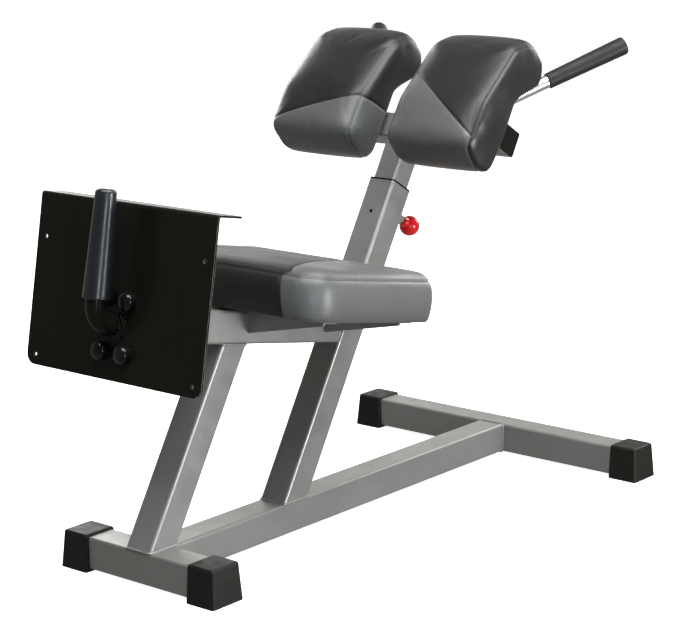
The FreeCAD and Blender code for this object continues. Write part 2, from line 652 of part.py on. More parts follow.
# ---------------------------------------------------------------- pull pin
def pull_pin():
    """The spring plunger that locks the post height, drawn out clear of the inner post."""
    nose = POST_MID - INNER / 2 - PIN_NOSE_GAP
    rear = -TUBE
    lid = rear - HOUSING_LENGTH

    def at(off):
        return (PIN_ALONG, 0, off)

    housing = rod(HOUSING_DIAMETER, at(rear), at(lid))
    housing = housing.makeFillet(HOUSING_ROUND, edges_at(housing, "z", lid))
    housing = housing.cut(rod(PIN_DIAMETER + 2 * PIN_FIT, at(rear), at(rear - HOUSING_FLOOR)))
    housing = housing.cut(rod(CHAMBER, at(rear - HOUSING_FLOOR), at(lid + HOUSING_FLOOR)))
    housing = housing.cut(rod(STEM_DIAMETER + 2 * PIN_FIT, at(lid + HOUSING_FLOOR), at(lid)))
    add("pin_housing", placed(housing, POST_FRAME))

    collar_front = rear - HOUSING_FLOOR - PIN_TRAVEL - PIN_STOP_GAP
    collar_back = collar_front - COLLAR_THICK
    knob_front = KNOB_CENTRE + KNOB_DIAMETER / 2
    plunger = rod(PIN_DIAMETER, at(nose), at(collar_front))
    plunger = plunger.makeChamfer(PIN_CHAMFER, edges_at(plunger, "z", nose))
    plunger = plunger.fuse([rod(CHAMBER - HOLE_CLEARANCE, at(collar_front), at(collar_back)),
                            rod(STEM_DIAMETER, at(collar_back), at(KNOB_CENTRE))]).removeSplitter()
    add("pin_plunger", placed(plunger, POST_FRAME))

    coil = spring(at, collar_back - SPRING_GAP, lid + HOUSING_FLOOR + SPRING_GAP)
    add("pin_spring", placed(coil, POST_FRAME))

    ball = Part.makeSphere(KNOB_DIAMETER / 2, V(*at(KNOB_CENTRE)))
    neck = cone(KNOB_NECK_TIP, KNOB_NECK_ROOT, at(knob_front + KNOB_NECK_LENGTH),
                at(knob_front - KNOB_NECK_SUNK))
    knob = ball.fuse(neck).cut(rod(STEM_DIAMETER, at(0), at(KNOB_CENTRE)))
    add("pin_knob", placed(knob, POST_FRAME))


def spring(at, start, end):
    """A compression spring: one helix of round wire."""
    radius = (CHAMBER + STEM_DIAMETER) / 4 + 0.1
    length = abs(end - start) - SPRING_WIRE
    helix = Part.makeHelix(length / SPRING_TURNS, length, radius)
    wire = Part.Wire([Part.makeCircle(SPRING_WIRE / 2, V(radius, 0, 0), V(0, 1, 0))])
    coil = Part.Wire(helix.Edges).makePipeShell([wire], True, True)
    coil.translate(V(0, 0, SPRING_WIRE / 2))
    rearwards = FreeCAD.Rotation(V(0, 0, 1), V(0, 0, -1))
    return placed(coil, FreeCAD.Placement(V(*at(start)), rearwards))


floor_frame()
leg_and_rail()
post_tube()
post_bushing()
foot_plate()
front_bar()
seat()
inner_post()
cross_tube()
hip_pads()
handles()
pull_pin()

whole = Part.makeCompound(list(parts.values())).optimalBoundingBox(False, False)
centre = V(-(whole.XMin + whole.XMax) / 2, 0, -whole.ZMin)
os.makedirs("parts", exist_ok=True)
for node, shape in parts.items():
    moved = shape.translated(centre)
    moved.exportStep("parts/%s.step" % node)
    print("%-22s solids %d valid %s volume %.0f" % (node, len(shape.Solids), shape.isValid(), shape.Volume))
print("shift to the origin", centre, "size", whole.XLength, whole.YLength, whole.ZLength)
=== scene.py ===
import json
import math

import bmesh
import bpy
import numpy as np
from mathutils import Matrix, Vector, noise
from mathutils.bvhtree import BVHTree
from mathutils.kdtree import KDTree


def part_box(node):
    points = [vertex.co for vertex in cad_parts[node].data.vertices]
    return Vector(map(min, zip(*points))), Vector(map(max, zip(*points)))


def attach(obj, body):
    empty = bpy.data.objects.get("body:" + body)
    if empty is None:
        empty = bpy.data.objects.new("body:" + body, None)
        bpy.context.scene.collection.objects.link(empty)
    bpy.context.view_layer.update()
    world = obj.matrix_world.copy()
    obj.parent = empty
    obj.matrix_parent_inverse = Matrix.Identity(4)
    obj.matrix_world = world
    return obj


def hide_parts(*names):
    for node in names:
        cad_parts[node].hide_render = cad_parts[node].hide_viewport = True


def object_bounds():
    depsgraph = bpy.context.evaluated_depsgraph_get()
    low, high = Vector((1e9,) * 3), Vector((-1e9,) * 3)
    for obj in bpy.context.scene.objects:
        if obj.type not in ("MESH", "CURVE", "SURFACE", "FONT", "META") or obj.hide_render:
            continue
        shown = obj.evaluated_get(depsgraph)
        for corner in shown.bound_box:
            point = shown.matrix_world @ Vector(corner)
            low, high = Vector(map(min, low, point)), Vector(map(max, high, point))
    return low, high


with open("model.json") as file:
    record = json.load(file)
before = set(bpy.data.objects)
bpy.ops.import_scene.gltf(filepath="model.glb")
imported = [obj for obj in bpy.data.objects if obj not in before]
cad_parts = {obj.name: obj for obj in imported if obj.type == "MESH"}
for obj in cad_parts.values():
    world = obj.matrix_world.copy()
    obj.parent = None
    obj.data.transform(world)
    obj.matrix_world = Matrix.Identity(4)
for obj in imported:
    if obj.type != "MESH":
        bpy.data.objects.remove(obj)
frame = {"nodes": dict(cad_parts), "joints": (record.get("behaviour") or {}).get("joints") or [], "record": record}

# Looks of the roman chair around its CAD frame: soft cushions, seams, stitches and weld beads, then paints,
# light and camera.
# Metres, in the row frame: +X from the foot plate to the hip pads, +Y to the user's left, +Z up.

CAD_LOW, CAD_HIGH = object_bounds()
NODES = frame["nodes"]
RECORD = frame["record"]
MM = 0.001

# ---------------------------------------------------------------- sizes that the CAD source states
POST_LENGTH = 0.657         # end of the outer post, along its own axis
RAIL_HALF = 0.030
PAD_INNER = 0.049           # |y| of a hip pad's inner and outer side
PAD_OUTER = 0.241
SEAT_TOP = 0.123            # in the rail's frame
SEAT_BASE = 0.035


def read(items, field, width=1, kind=float):
    """One field of a mesh's vertices, edges, loops or faces, as an array with a row for each."""
    values = np.empty(len(items) * width, kind)
    items.foreach_get(field, values)
    return values.reshape(-1, width) if width > 1 else values


def coords(obj):
    return read(obj.data.vertices, "co", 3)


def set_coords(obj, co):
    obj.data.vertices.foreach_set("co", co.astype(np.float32).ravel())
    obj.data.update()


def normals(obj):
    return read(obj.data.vertices, "normal", 3)


class Local:
    """A tilted set of axes: x along a tube of the machine, y across it, z up off its face."""

    def __init__(self, along):
        x = Vector(along).normalized()
        y = Vector((0, 1, 0))
        self.axes = np.array([x, y, x.cross(y)])
        self.origin = np.zeros(3)

    def inward(self, points):
        return (np.asarray(points) - self.origin) @ self.axes.T

    def outward(self, points):
        return np.asarray(points) @ self.axes + self.origin

    def place(self, x, y, z):
        """One point of these axes, in the row frame."""
        return self.outward([[x, y, z]])[0]


def joint_axis(name):
    return next(j["axis"] for j in frame["joints"] if j["name"] == name)


def mount(name):
    return next(m for m in RECORD["mounts"] if m["name"] == name)


POST = Local(joint_axis("post_height"))
post_span = POST.inward(coords(NODES["post_outer"]))
POST.origin = POST.place(post_span[:, 0].max() - POST_LENGTH, 0, post_span[:, 2].max())

RAIL = Local([-c for c in mount("tread_hole_upper_left")["axis"]])
RAIL.origin = RAIL.place(RAIL.inward(coords(NODES["foot_plate"]))[:, 0].min(), 0,
                         RAIL.inward(coords(NODES["seat_rail"]))[:, 2].max() - RAIL_HALF)


# ---------------------------------------------------------------- mesh helpers
def link(obj):
    bpy.context.scene.collection.objects.link(obj)
    return obj


def applied(obj):
    """Turns what the object's modifiers give into its own mesh."""
    view = bpy.context.evaluated_depsgraph_get()
    mesh = bpy.data.meshes.new_from_object(obj.evaluated_get(view))
    obj.modifiers.clear()
    obj.data = mesh


def smooth_shade(obj):
    obj.data.polygons.foreach_set("use_smooth", [True] * len(obj.data.polygons))


def mesh_piece(name, points, faces, body, material):
    """A new piece from points in the row frame."""
    mesh = bpy.data.meshes.new(name)
    mesh.from_pydata([tuple(p) for p in points], [], faces)
    mesh.update()
    obj = link(bpy.data.objects.new(name, mesh))
    smooth_shade(obj)
    mesh.materials.append(material)
    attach(obj, body)


def relax(obj, values, steps):
    """Moves each value of a per-vertex array halfway to the mean of its neighbours, a number of times."""
    a, b = read(obj.data.edges, "vertices", 2, int).T
    count = np.bincount(a, minlength=len(values)) + np.bincount(b, minlength=len(values))
    for _ in range(steps):
        total = np.zeros_like(values)
        np.add.at(total, a, values[b])
        np.add.at(total, b, values[a])
        values = values * 0.5 + 0.5 * total / count[:, None]
    return values


def level_lines(mesh, value):
    """The lines on a mesh where a per-vertex value is zero, each as an array of points."""
    a, b = read(mesh.edges, "vertices", 2, int).T
    crossing = (value[a] > 0) != (value[b] > 0)
    co = read(mesh.vertices, "co", 3)
    share = value[a] / np.where(crossing, value[a] - value[b], 1)
    where = co[a] + (co[b] - co[a]) * share[:, None]
    loop_edges = read(mesh.loops, "edge_index", kind=int)
    starts = read(mesh.polygons, "loop_start", kind=int)
    counts = read(mesh.polygons, "loop_total", kind=int)
    hits = np.add.reduceat(crossing[loop_edges].astype(int), starts)
    linked = {}
    for i in np.nonzero(hits == 2)[0]:
        pair = [e for e in loop_edges[starts[i]:starts[i] + counts[i]] if crossing[e]]
        for one, other in (pair, pair[::-1]):
            linked.setdefault(one, []).append(other)
    lines = []
    used = set()
    for first in sorted(linked, key=lambda e: (len(linked[e]), e)):
        if first in used:
            continue
        chain = [first]
        used.add(first)
        while True:
            onward = [e for e in linked[chain[-1]] if e not in used]
            if not onward:
                break
            chain.append(onward[0])
            used.add(onward[0])
        if len(chain) > 2 and chain[0] in linked[chain[-1]]:
            chain.append(chain[0])
        lines.append(where[chain])
    return lines


def evenly(line, step):
    """The same line with points at an even spacing."""
    run = np.r_[0, np.cumsum(np.linalg.norm(np.diff(line, axis=0), axis=1))]
    count = max(3, int(round(run[-1] / step)) + 1)
    at = np.linspace(0, run[-1], count)
    return np.stack([np.interp(at, run, line[:, k]) for k in range(3)], axis=1)


def line_length(line):
    return float(np.linalg.norm(np.diff(line, axis=0), axis=1).sum())


def longest_line(mesh, value):
    return max(level_lines(mesh, value), key=line_length)


def long_lines(mesh, value, least):
    return [line for line in level_lines(mesh, value) if line_length(line) > least]


# ---------------------------------------------------------------- materials
# Cosine between a face and its rounded normal: above the first there is no edge, below the second a full one.
EDGE_NONE, EDGE_FULL = 0.94, 0.78


class Shader:
    """A Principled material whose colour, roughness and bump come from noise in object space."""

    def __init__(self, name, **sockets):
        self.material = bpy.data.materials.new(name)
        self.material.use_nodes = True
        self.tree = self.material.node_tree
        self.bsdf = self.tree.nodes["Principled BSDF"]
        for socket, value in sockets.items():
            self.bsdf.inputs[socket.replace("_", " ")].default_value = value
        self.place = self.node("ShaderNodeTexCoord").outputs["Object"]

    def node(self, kind, settings=None, **links):
        made = self.tree.nodes.new(kind)
        for key, value in (settings or {}).items():
            setattr(made, key, value)
        for key, value in links.items():
            numbered = key[0] == "i" and key[1:].isdigit()
            socket = made.inputs[int(key[1:]) if numbered else key.replace("_", " ")]
            if isinstance(value, bpy.types.NodeSocket):
                self.tree.links.new(value, socket)
            else:
                socket.default_value = value
        return made

    def noise(self, scale, detail=3.0, roughness=0.55, vector=None):
        return self.node("ShaderNodeTexNoise", Vector=vector or self.place, Scale=scale, Detail=detail,
                         Roughness=roughness).outputs["Fac"]

    def cells(self, scale):
        return self.node("ShaderNodeTexVoronoi", Vector=self.place, Scale=scale).outputs["Distance"]

    def math(self, operation, a, b):
        return self.node("ShaderNodeMath", {"operation": operation}, i0=a, i1=b).outputs[0]

    def ramp(self, value, low, high, out_low=0.0, out_high=1.0):
        """A smooth step from out_low to out_high as the value goes from low to high."""
        return self.node("ShaderNodeMapRange", {"interpolation_type": "SMOOTHSTEP"}, Value=value,
                         From_Min=low, From_Max=high, To_Min=out_low, To_Max=out_high).outputs[0]

    def mix(self, share, first, second):
        made = self.node("ShaderNodeMix", {"data_type": "RGBA"}, i0=share)
        for index, value in ((6, first), (7, second)):
            if isinstance(value, bpy.types.NodeSocket):
                self.tree.links.new(value, made.inputs[index])
            else:
                made.inputs[index].default_value = (*value, 1.0)
        return made.outputs[2]

    def edges(self, radius):
        """1 on sharp edges, 0 on faces."""
        soft = self.node("ShaderNodeBevel", {"samples": 4}, Radius=radius).outputs[0]
        hard = self.node("ShaderNodeNewGeometry").outputs["Normal"]
        alike = self.node("ShaderNodeVectorMath", {"operation": "DOT_PRODUCT"}, i0=soft, i1=hard)
        return self.ramp(alike.outputs["Value"], EDGE_NONE, EDGE_FULL)

    def attribute(self, name):
        return self.node("ShaderNodeAttribute", {"attribute_name": name}).outputs["Fac"]

    def colour(self, value):
        self.tree.links.new(value, self.bsdf.inputs["Base Color"])

    def rough(self, value):
        self.tree.links.new(value, self.bsdf.inputs["Roughness"])

    def bump(self, *heights):
        """Adds height maps, each (value, depth in metres), one after the other."""
        normal = None
        for value, depth in heights:
            made = self.node("ShaderNodeBump", Height=value, Strength=1.0, Distance=depth)
            if normal is not None:
                self.tree.links.new(normal, made.inputs["Normal"])
            normal = made.outputs["Normal"]
        self.tree.links.new(normal, self.bsdf.inputs["Normal"])


def silver_paint():
    """Silver-grey metallic powder coat: fine flake, orange peel, edges a little brighter."""
    s = Shader("silver_paint", Metallic=0.55, Specular_IOR_Level=0.3)
    flake = s.cells(2600.0)
    body = s.mix(s.noise(7.0), (0.215, 0.212, 0.205), (0.245, 0.242, 0.236))
    flecked = s.mix(s.ramp(flake, 0.10, 0.45), (0.33, 0.328, 0.322), body)
    s.colour(s.mix(s.math("MULTIPLY", s.edges(1.4 * MM), 0.35), flecked, (0.36, 0.36, 0.355)))
    s.rough(s.ramp(s.noise(24.0, 4.0), 0.3, 0.75, 0.34, 0.46))
    s.bump((s.noise(420.0, 2.0), 0.10 * MM), (flake, 0.02 * MM))
    return s.material


def black_paint():
    """Gloss black enamel: long shallow waves, a fine orange peel, and a pale line along every edge that is part
    worn steel, part painted highlight on the lit rim.
    """
    s = Shader("black_gloss_paint", Specular_IOR_Level=0.12)
    # Partly painted highlight: a pale, mostly unbroken line along every edge, standing for worn steel and for the
    # lit rim of the plate's folds.
    worn_and_lit_edge = s.math("MULTIPLY", s.edges(1.2 * MM), s.ramp(s.noise(60.0, 4.0), 0.35, 0.62, 0.75, 1.0))
    base = s.mix(s.noise(5.0), (0.0045, 0.005, 0.0035), (0.008, 0.0085, 0.006))
    s.colour(s.mix(worn_and_lit_edge, base, (0.35, 0.345, 0.335)))
    s.rough(s.ramp(s.noise(30.0, 5.0), 0.3, 0.8, 0.18, 0.30))
    s.bump((s.noise(300.0, 2.0), 0.010 * MM), (s.noise(9.0, 1.0), 0.15 * MM))
    return s.material


def rubber(name, low, high, rough_low, rough_high, grain, depth, gloss=0.16):
    """Moulded rubber or plastic between two colours, with a fine grain of a given scale and depth."""
    s = Shader(name, Specular_IOR_Level=gloss)
    s.colour(s.mix(s.noise(16.0, 4.0), low, high))
    s.rough(s.ramp(s.noise(45.0, 4.0), 0.3, 0.75, rough_low, rough_high))
    s.bump((s.noise(grain, 3.0), depth), (s.noise(60.0, 2.0), 0.015 * MM))
    return s.material


def bright_metal(name, low, high, rough_low, rough_high):
    """Plated steel with faint drawing lines along X."""
    s = Shader(name, Metallic=1.0)
    s.colour(s.mix(s.noise(30.0), low, high))
    stretched = s.node("ShaderNodeMapping", Vector=s.place, Scale=(30.0, 900.0, 900.0)).outputs[0]
    s.rough(s.ramp(s.noise(1.0, 3.0, vector=stretched), 0.3, 0.7, rough_low, rough_high))
    s.bump((s.noise(1.0, 3.0, vector=stretched), 0.010 * MM), (s.noise(60.0), 0.010 * MM))
    return s.material


def red_plastic():
    """Glossy moulded plastic with slight ripples."""
    s = Shader("red_plastic", Specular_IOR_Level=0.3, Coat_Weight=0.25, Coat_Roughness=0.06)
    s.colour(s.mix(s.noise(40.0), (0.50, 0.006, 0.010), (0.58, 0.008, 0.013)))
    s.rough(s.ramp(s.noise(80.0, 4.0), 0.3, 0.75, 0.20, 0.32))
    s.bump((s.noise(160.0, 2.0), 0.05 * MM), (s.noise(1200.0, 2.0), 0.01 * MM))
    return s.material


def plywood():
    """Raw plywood with its grain along X."""
    s = Shader("plywood")
    long = s.node("ShaderNodeMapping", Vector=s.place, Scale=(6.0, 90.0, 90.0)).outputs[0]
    grain = s.noise(2.0, 6.0, vector=long)
    s.colour(s.mix(grain, (0.28, 0.17, 0.08), (0.55, 0.39, 0.22)))
    s.rough(s.ramp(grain, 0.3, 0.7, 0.55, 0.75))
    s.bump((grain, 0.25 * MM))
    return s.material


def leatherette():
    """Two-tone leatherette. The mesh keeps two distances: "grey", above zero on grey panels, and "seam", which
    sets a painted shade along the seams.
    """
    s = Shader("leatherette", Specular_IOR_Level=0.44, Sheen_Weight=0.02, Sheen_Roughness=0.4)
    panel = s.ramp(s.attribute("grey"), -0.25 * MM, 0.25 * MM)
    tone = s.noise(9.0, 3.0)
    black = s.mix(tone, (0.0062, 0.0054, 0.0048), (0.0100, 0.0088, 0.0080))
    grey = s.mix(tone, (0.074, 0.078, 0.077), (0.090, 0.094, 0.092))
    both = s.mix(panel, black, grey)
    pores = s.cells(760.0)
    both = s.mix(s.ramp(pores, 0.42, 0.70, 0.0, 0.25), both, (0.010, 0.010, 0.010))
    # Painted shade: the leather goes near black within about 1.7 mm of a seam, standing for the shade in the
    # seam's groove.
    crease = s.ramp(s.attribute("seam"), 0.4 * MM, 1.7 * MM, 0.85, 0.0)
    s.colour(s.mix(crease, both, (0.003, 0.003, 0.003)))
    scuff = s.ramp(s.noise(13.0, 5.0, 0.6), 0.42, 0.68, 0.0, 0.08)
    s.rough(s.math("SUBTRACT", s.ramp(pores, 0.1, 0.6, 0.37, 0.47), scuff))
    s.bump((pores, 0.10 * MM), (s.noise(330.0, 3.0), 0.12 * MM), (s.noise(38.0, 2.0), 0.35 * MM))
    return s.material


def thread():
    """Black twisted thread."""
    s = Shader("thread", Sheen_Weight=0.2)
    twist = s.node("ShaderNodeTexWave", Vector=s.place, Scale=700.0, Distortion=1.0).outputs["Fac"]
    s.colour(s.mix(twist, (0.012, 0.012, 0.012), (0.03, 0.03, 0.03)))
    s.rough(s.ramp(twist, 0.0, 1.0, 0.5, 0.7))
    s.bump((twist, 0.08 * MM))
    return s.material


def pale_floor():
    s = Shader("pale_floor", Emission_Color=(1.0, 1.0, 1.0, 1.0), Emission_Strength=0.90)
    s.colour(s.mix(s.noise(1.2), (0.80, 0.80, 0.80), (0.82, 0.82, 0.82)))
    s.rough(s.ramp(s.noise(6.0), 0.3, 0.7, 0.65, 0.75))
    s.bump((s.noise(40.0), 0.1 * MM))
    return s.material


FINISHES = {
    "silver_paint": silver_paint(),
    "black_gloss_paint": black_paint(),
    "rubber_cap": rubber("rubber_cap", (0.007, 0.007, 0.006), (0.013, 0.013, 0.011),
                         0.40, 0.58, grain=900.0, depth=0.05 * MM),
    "black_plastic": rubber("black_plastic", (0.004, 0.004, 0.004), (0.007, 0.007, 0.006),
                            0.12, 0.22, grain=1300.0, depth=0.01 * MM, gloss=0.3),
    "sleeve_rubber": rubber("sleeve_rubber", (0.007, 0.008, 0.010), (0.011, 0.013, 0.016),
                            0.27, 0.36, grain=700.0, depth=0.01 * MM, gloss=0.5),
    "grip_rubber": rubber("grip_rubber", (0.013, 0.012, 0.012), (0.022, 0.021, 0.021),
                          0.42, 0.56, grain=800.0, depth=0.05 * MM),
    "chrome": bright_metal("chrome", (0.60, 0.60, 0.62), (0.68, 0.68, 0.70), 0.26, 0.36),
    "zinc_steel": bright_metal("zinc_steel", (0.50, 0.50, 0.49), (0.62, 0.62, 0.60), 0.28, 0.42),
    "red_plastic": red_plastic(),
    "plywood": plywood(),
    "black_leatherette": leatherette(),
}
THREAD = thread()

for part in RECORD["subparts"]:
    mesh = NODES[part["node"]].data
    mesh.materials.clear()
    mesh.materials.append(FINISHES[part["material_slot"]])


# ---------------------------------------------------------------- soft pieces
SIM_FRAMES = 20
SIM_PRESSURE = 4.0
SIM_CAP = 3.0 * MM          # how far the simulation may move the cover
HELD_SEAM = 2.5 * MM        # the cover nearer than this to a pad's seam is held in the simulation
PUCKER_REACH = 20.0 * MM    # puckers die out well within this distance of a seam
STITCH_AWAY = 4.0 * MM      # from a seam to its row of stitches
STITCH_SIDES = 6
# Rings of one stitch: place along it as a share of its length, width and height as shares of its thickness.
STITCH_RINGS = ((-0.5, 0.35, -0.9), (-0.32, 1.0, 0.35), (0.32, 1.0, 0.35), (0.5, 0.35, -0.9))


def soft_start(name, node, local, voxel):
    """A remeshed copy of a CAD cushion, in its own tilted axes so that flat sides line up with the voxels."""
    obj = link(bpy.data.objects.new(name, NODES[node].data.copy()))
    obj.data.materials.clear()
    set_coords(obj, local.inward(coords(obj)))
    remesh = obj.modifiers.new("remesh", "REMESH")
    remesh.mode = "VOXEL"
    remesh.voxel_size = voxel
    applied(obj)
    set_coords(obj, relax(obj, coords(obj), 2))
    return obj


def inflate(obj, held):
    """Runs the cloth simulation on the closed mesh and scales its swell to SIM_CAP; held points stay."""
    rest = coords(obj)
    group = obj.vertex_groups.new(name="held")
    group.add([int(i) for i in np.nonzero(held)[0]], 1.0, "REPLACE")
    cloth = obj.modifiers.new("cloth", "CLOTH")
    cloth.settings.quality = 6
    cloth.settings.use_pressure = True
    cloth.settings.uniform_pressure_force = SIM_PRESSURE
    cloth.settings.vertex_group_mass = "held"
    cloth.settings.effector_weights.gravity = 0
    cloth.point_cache.frame_start = 1
    cloth.point_cache.frame_end = SIM_FRAMES
    scene = bpy.context.scene
    for step in range(1, SIM_FRAMES + 1):
        scene.frame_set(step)
    view = bpy.context.evaluated_depsgraph_get()
    swollen = bpy.data.meshes.new_from_object(obj.evaluated_get(view))
    moved = read(swollen.vertices, "co", 3) - rest
    bpy.data.meshes.remove(swollen)
    obj.modifiers.clear()
    obj.vertex_groups.clear()
    scene.frame_set(1)
    size = np.linalg.norm(moved, axis=1)
    top = np.percentile(size, 99)
    moved = relax(obj, moved * (SIM_CAP / top) * np.minimum(1, top / np.maximum(size, 1e-9))[:, None], 2)
    set_coords(obj, rest + moved)


def refine(obj):
    """One subdivision, then a little smoothing."""
    finer = obj.modifiers.new("finer", "SUBSURF")
    finer.levels = 1
    finer.render_levels = 1
    applied(obj)
    set_coords(obj, relax(obj, coords(obj), 2))


def distance_to(lines, co):
    """Distance from each point to the nearest line, and the nearest place on it."""
    points = np.concatenate([evenly(line, 1.0 * MM) for line in lines])
    tree = KDTree(len(points))
    for i, p in enumerate(points):
        tree.insert(p, i)
    tree.balance()
    found = [tree.find(p) for p in co]
    return np.array([f[2] for f in found]), points[[f[1] for f in found]]


def crease(obj, lines, depth, width, pucker):
    """Draws the surface in along seam lines, with puckers beside them, and keeps the distance to them, which the
    leatherette uses for a painted shade along the seams.
    """
    co = coords(obj)
    away, nearest = distance_to(lines, co)
    ripple = np.zeros(len(co))
    for i in np.nonzero(away < PUCKER_REACH)[0]:
        spot = Vector(nearest[i])
        ripple[i] = noise.noise(spot * 70.0) + 0.6 * noise.noise(spot * 160.0)
    near = np.exp(-(away / width) ** 2)
    beside = np.exp(-(away / (3 * width)) ** 2)
    sink = depth * near + pucker * np.maximum(ripple, 0) * beside
    set_coords(obj, co - normals(obj) * sink[:, None])
    keep(obj, "seam", away)


def keep(obj, name, values):
    layer = obj.data.attributes.new(name, "FLOAT", "POINT")
    layer.data.foreach_set("value", values.astype(np.float32))


def surface_of(obj):
    """A search tree over the mesh, to set stitches on it."""
    build = bmesh.new()
    build.from_mesh(obj.data)
    tree = BVHTree.FromBMesh(build)
    build.free()
    return tree


def stitches(name, obj, lines, body, pitch=4.6 * MM, long=3.4 * MM, thick=0.42 * MM):
    """Short threads lying end to end along lines on the surface, as one piece."""
    tree = surface_of(obj)
    points, faces = [], []
    sides = STITCH_SIDES
    for line in lines:
        track = evenly(line, pitch)
        for a, b in zip(track[:-1], track[1:]):
            spot, normal, _, _ = tree.find_nearest(Vector((a + b) / 2))
            run = Vector(b - a)
            if spot is None or run.length < 0.5 * pitch:
                continue
            run.normalize()
            across = normal.cross(run).normalized()
            base = len(points)
            for t, width, lift in STITCH_RINGS:
                centre = spot + run * (t * long) + normal * (lift * thick)
                for k in range(sides):
                    turn = 2 * math.pi * k / sides
                    spoke = across * math.cos(turn) + normal * math.sin(turn)
                    points.append(centre + spoke * (thick * width))
            last = len(STITCH_RINGS) - 1
            for ring in range(last):
                for k in range(sides):
                    n = (k + 1) % sides
                    start = base + ring * sides
                    faces.append((start + k, start + n, start + sides + n, start + sides + k))
            faces.append(tuple(base + k for k in reversed(range(sides))))
            faces.append(tuple(base + last * sides + k for k in range(sides)))
    mesh_piece(name, points, faces, body, THREAD)


def finish_cushion(obj, local, node, body, rows):
    """Moves the piece from its tilted axes to the row frame, puts it on its body and adds its stitches."""
    set_coords(obj, local.outward(coords(obj)))
    smooth_shade(obj)
    obj.data.materials.append(FINISHES["black_leatherette"])
    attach(obj, body)
    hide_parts(node)
    stitches(obj.name + "_stitches", obj, [local.outward(row) for row in rows], body)


# ---------------------------------------------------------------- knee cushion
RIM = SEAT_TOP - 0.0125     # height of the seam round the top panel
SEAT_VOXEL = 5.0 * MM
SEAT_CROWN = 8.5 * MM       # rise of the top panel's middle
SEAT_SIDE_PUFF = 5.0 * MM   # how far the sides stand out at half height
SEAT_BEND = 0.245           # along the rail: from here to the rear the panel seams swing in
SEAT_FRONT = 0.40           # along the rail: ahead of here a seam on the side face runs its own way
SEAM_LEAST = 0.1            # shorter level lines than this are not seams


def seat_panel(co):
    """Above zero on the grey end panels, in metres from their seam, which swings in towards the rear."""
    x, y, z = co.T
    back = np.clip(x - SEAT_BEND, 0, None)
    over = 0.166 - 0.45 * back + 0.5 * back ** 2
    front = np.where(x < SEAT_FRONT, 0.153 + 0.21 * (0.103 - z), over)
    share = np.clip((z - RIM + 3 * MM) / (12 * MM), 0, 1)
    line = front + (over - front) * share * share * (3 - 2 * share)
    slant = 1.06            # length of the seam's normal, so that the result is a distance
    return (np.abs(y) - line) / slant


def puff_seat(obj):
    """Crowns the top panel from its seam to the middle, and rounds the sides out between seam and board."""
    co = coords(obj)
    out = normals(obj)
    away = distance_to([longest_line(obj.data, co[:, 2] - RIM)], co)[0]
    top = np.where(co[:, 2] > RIM, 1 - np.exp(-away / (45 * MM)), 0)
    share = np.clip((co[:, 2] - SEAT_BASE) / (RIM - SEAT_BASE), 0, 1)
    flat = out * [1, 1, 0]
    flat = flat / np.maximum(np.linalg.norm(flat, axis=1), 0.3)[:, None]
    side = np.where(co[:, 2] < RIM, np.sin(math.pi * share ** 0.9), 0)
    co = co + flat * (side * SEAT_SIDE_PUFF)[:, None]
    co[:, 2] += top * SEAT_CROWN
    set_coords(obj, relax(obj, co, 2))


def knee_cushion():
    obj = soft_start("knee_cushion", "seat_cushion", RAIL, SEAT_VOXEL)
    puff_seat(obj)
    z = coords(obj)[:, 2]
    inflate(obj, (z < SEAT_BASE + 9 * MM) | (np.abs(z - RIM) < 3 * MM))
    refine(obj)
    co = coords(obj)
    seams = [longest_line(obj.data, co[:, 2] - RIM)] + long_lines(obj.data, seat_panel(co), SEAM_LEAST)
    crease(obj, seams, 1.3 * MM, 2.6 * MM, 0.5 * MM)
    co = coords(obj)
    keep(obj, "grey", seat_panel(co))
    above = longest_line(obj.data, co[:, 2] - RIM - STITCH_AWAY)
    beside = long_lines(obj.data, seat_panel(co) - STITCH_AWAY, SEAM_LEAST)
    beside = [line[line[:, 2] > SEAT_BASE + 6 * MM] for line in beside]
    finish_cushion(obj, RAIL, "seat_cushion", "frame", [above] + beside)


# ---------------------------------------------------------------- hip pads
PAD_VOXEL = 4.0 * MM
PAD_ROUND = 14.0 * MM       # radius of the long corners, and its share left at the foot
FOOT_ROUND = 0.35
FRONT_PUFF = 8.0 * MM       # how far the front, the bottom and the two sides stand out between their seams
BOTTOM_PUFF = 3.5 * MM
INNER_PUFF = 11.0 * MM
OUTER_PUFF = 7.0 * MM
PIPED = 2.0 * MM            # how far the cover stands out at the seams themselves
REACH = 12.0 * MM           # depth under the cover over which a displacement dies out
FOOT = 0.692                # along the post: the foot of a pad, where the long corners are sharpest
TOP_BACK = 0.84             # along the post: above here the back of a pad is rolled and fills out too


def wall_tree(node):
    """The pad's outline walls, which run across it, in the post's frame, without its flat back."""
    build = bmesh.new()
    build.from_mesh(NODES[node].data)
    for v in build.verts:
        v.co = Vector(POST.inward([v.co])[0])
    build.normal_update()
    ends = [f for f in build.faces if abs(f.normal.y) > 0.5 or f.normal.z < -0.6
            or not any(abs(abs(v.co.y) - PAD_INNER) < 1 * MM or abs(abs(v.co.y) - PAD_OUTER) < 1 * MM
                       for v in f.verts)]
    bmesh.ops.delete(build, geom=ends, context="FACES")
    tree = BVHTree.FromBMesh(build)
    build.free()
    return tree


def inset(tree, co):
    """How far each point lies inside the outline walls, and the way in."""
    depth = np.empty(len(co))
    way = np.zeros((len(co), 3))
    for i, p in enumerate(co):
        spot, normal, _, _ = tree.find_nearest(Vector(p))
        gap = Vector(p) - spot
        inside = gap.dot(normal) < 0
        depth[i] = gap.length if inside else -gap.length
        way[i] = -normal
    return depth, way


def side_depths(co):
    """How far each point lies inside the outer and the inner side of its pad."""
    y = np.abs(co[:, 1])
    return PAD_OUTER - y, y - PAD_INNER


